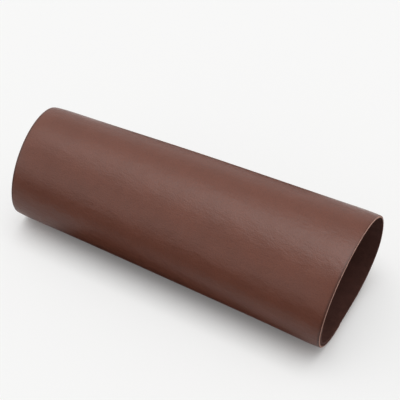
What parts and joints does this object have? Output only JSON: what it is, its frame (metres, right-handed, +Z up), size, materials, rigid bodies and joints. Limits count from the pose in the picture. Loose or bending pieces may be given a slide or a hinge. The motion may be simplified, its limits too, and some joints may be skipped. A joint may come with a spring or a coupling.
{
  "type": "leather hide",
  "caption": "Cut sheet of smooth brown leather, rolled grain side out into a loose, slightly tapered tube that is open at both ends and lies on a small flat spot.",
  "frame": {"origin": "on the surface that the roll lies on, under the middle of its box", "axes": "+X along the roll towards its wider end, +Z up, -Y the front; the sheet's outer edge lies under the roll and faces +Y"},
  "size_m": [0.312, 0.124, 0.103],
  "materials": {
    "leather": "satin brown grain side outwards, matt darker flesh side inwards, plain cut edges"
  },
  "bodies": {
    "root": {"rolled_hide": "leather"}
  },
  "joints": []
}
